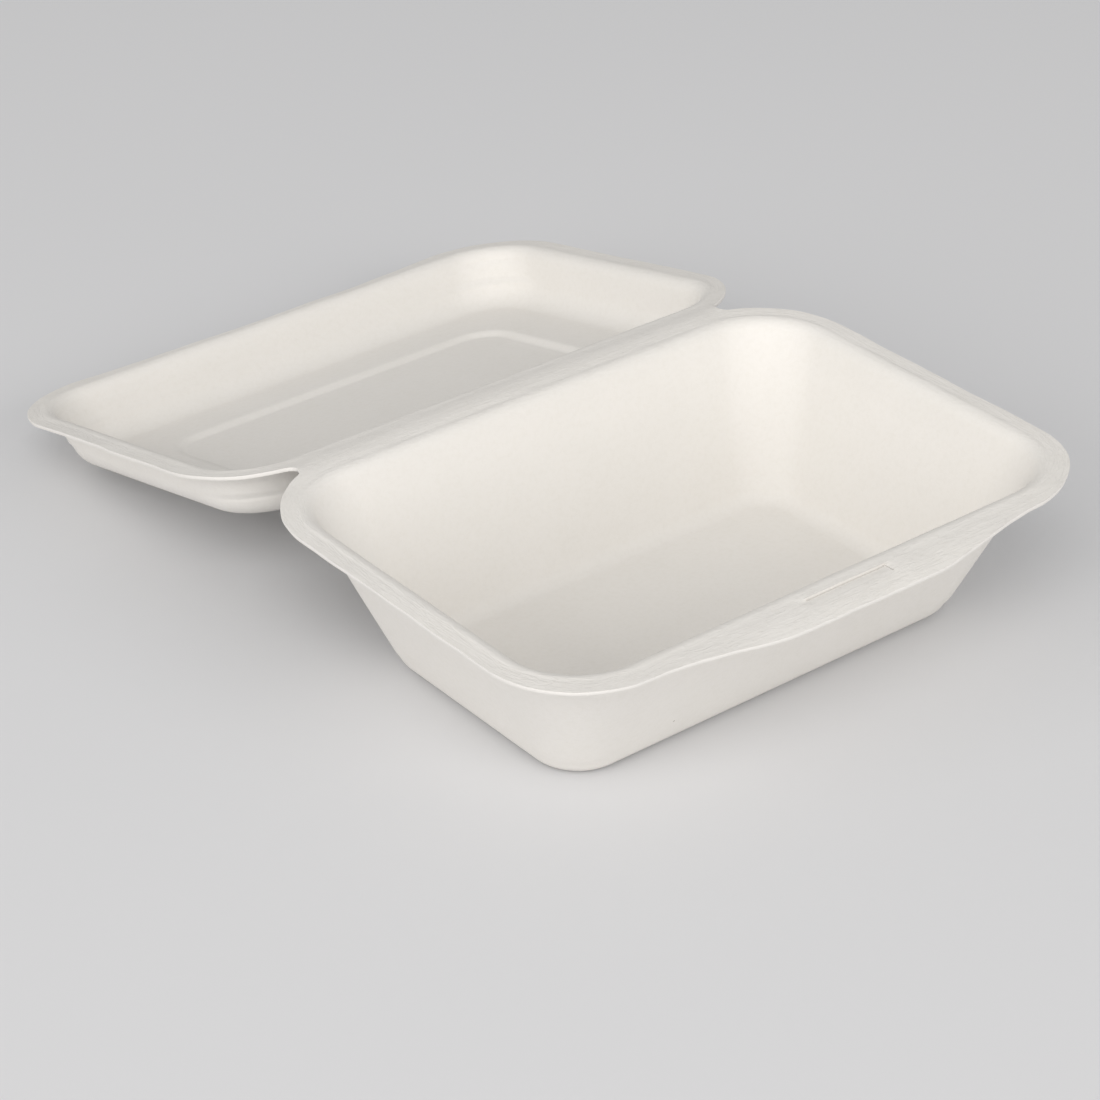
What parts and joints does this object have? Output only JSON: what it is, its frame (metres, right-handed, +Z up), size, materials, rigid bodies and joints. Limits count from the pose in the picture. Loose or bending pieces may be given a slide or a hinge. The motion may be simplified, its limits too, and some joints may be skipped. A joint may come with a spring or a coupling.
{
  "type": "clamshell food container",
  "caption": "Moulded-pulp food box lying open: a deep tapered tray with a flat rim, and a shallow lid on a creased web along its long side.",
  "frame": {"origin": "centre of the base tray's flat underside", "axes": "+X along the hinge, +Y from the tray towards the open lid, +Z up out of the tray"},
  "size_m": [0.182, 0.2678, 0.0455],
  "materials": {
    "pulp": "matte"
  },
  "bodies": {
    "base": {"base_tray": "pulp"},
    "lid": {"lid": "pulp"}
  },
  "joints": [
    {"name": "lid_hinge", "type": "hinge", "parent": "base", "child": "lid", "pos_m": [0, 0.0675, 0.04565], "axis": [1, 0, 0], "range_deg": [0, 193]}
  ]
}
